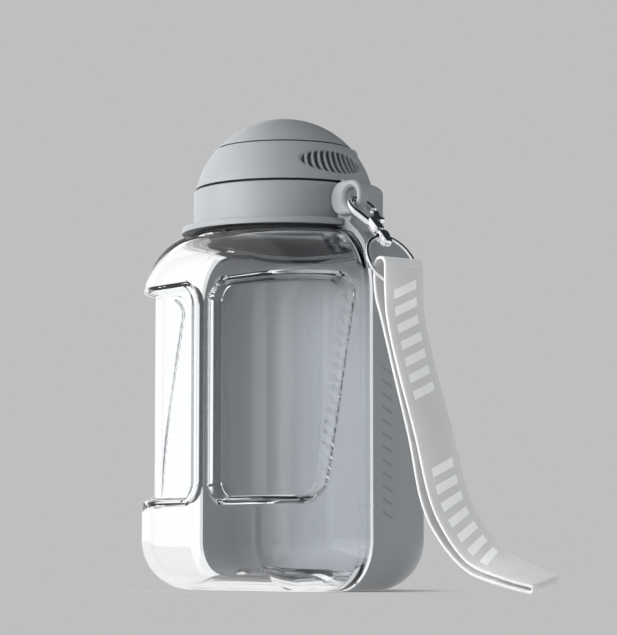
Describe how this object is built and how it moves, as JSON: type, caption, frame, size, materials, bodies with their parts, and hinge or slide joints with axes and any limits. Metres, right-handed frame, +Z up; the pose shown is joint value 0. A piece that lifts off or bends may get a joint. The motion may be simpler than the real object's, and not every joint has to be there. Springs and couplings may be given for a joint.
{
  "type": "dog travel water bottle",
  "caption": "Clear-fronted travel water bottle for dogs with a clasp-on drinking bowl behind, a domed screw cap with flip lid, and a wrist strap on a swivel snap hook.",
  "frame": {"origin": "on the floor plane, on the axis of the neck", "axes": "+Z up along the neck's axis, -Y towards the clear front, +X towards the ear that holds the strap"},
  "size_m": [0.2243, 0.0907, 0.21],
  "materials": {
    "clear_plastic": "glossy clear moulded copolyester",
    "grey_plastic": "satin moulded polypropylene",
    "bowl_plastic": "satin moulded polypropylene",
    "silicone": "soft matt silicone",
    "chrome": "polished chrome plate",
    "steel": "bright drawn steel",
    "strap_band": "smooth coated band, light grey",
    "thread": "polyester sewing thread"
  },
  "bodies": {
    "tank": {"tank": "clear_plastic", "collar": "grey_plastic"},
    "bowl": {"bowl": "bowl_plastic"},
    "seal": {"neck_seal": "silicone"},
    "cap": {"cap_plug": "grey_plastic", "cap_band": "grey_plastic", "vent_valve": "silicone", "spout": "silicone", "hinge_pin": "steel"},
    "lid": {"flip_lid": "grey_plastic", "stopper_seat": "grey_plastic", "stopper": "silicone"},
    "hook": {"hook_body": "chrome", "gate_pin": "steel", "gate_spring": "steel"},
    "gate": {"hook_gate": "chrome"},
    "swivel": {"swivel_eye": "chrome"},
    "ring": {"wire_ring": "chrome"},
    "strap": {"strap": "strap_band", "strap_stitch": "thread"}
  },
  "joints": [
    {"name": "cap_lift", "type": "slide", "parent": "tank", "child": "seal", "axis": [0, 0, 1], "range_m": [0, 0.0051]},
    {"name": "cap_turn", "type": "hinge", "parent": "seal", "child": "cap", "pos_m": [0, 0, 0.176], "axis": [0, 0, 1], "range_deg": [0, 450]},
    {"name": "lid_flip", "type": "hinge", "parent": "cap", "child": "lid", "pos_m": [0, 0.03304, 0.196], "axis": [-1, 0, 0], "range_deg": [0, 135]},
    {"name": "bowl_slide", "type": "slide", "parent": "tank", "child": "bowl", "axis": [0, 1, 0], "range_m": [0, 0.1]},
    {"name": "hook_swing", "type": "hinge", "parent": "bowl", "child": "hook", "pos_m": [0.053, -0.0035, 0.169], "axis": [0, -1, 0], "range_deg": [-5, 60]},
    {"name": "gate_open", "type": "hinge", "parent": "hook", "child": "gate", "pos_m": [0.06629, -0.0023, 0.15571], "axis": [0.7071, 0, 0.7071], "range_deg": [0, 20], "stiffness_Nm_per_rad": 0.02, "springref_deg": -17.19},
    {"name": "swivel_spin", "type": "hinge", "parent": "hook", "child": "swivel", "pos_m": [0.07223, -0.0035, 0.14977], "axis": [0.7071, 0, -0.7071], "continuous": true},
    {"name": "ring_swing", "type": "hinge", "parent": "swivel", "child": "ring", "pos_m": [0.07223, -0.0035, 0.14977], "axis": [0, -1, 0], "range_deg": [-12, 35]},
    {"name": "strap_swing", "type": "hinge", "parent": "ring", "child": "strap", "pos_m": [0.08123, -0.0035, 0.13284], "axis": [0, -1, 0], "range_deg": [0, 20]}
  ],
  "couplings": [
    {"joint": "cap_lift", "follows": "cap_turn", "m_per_rad": 0.00063662}
  ]
}
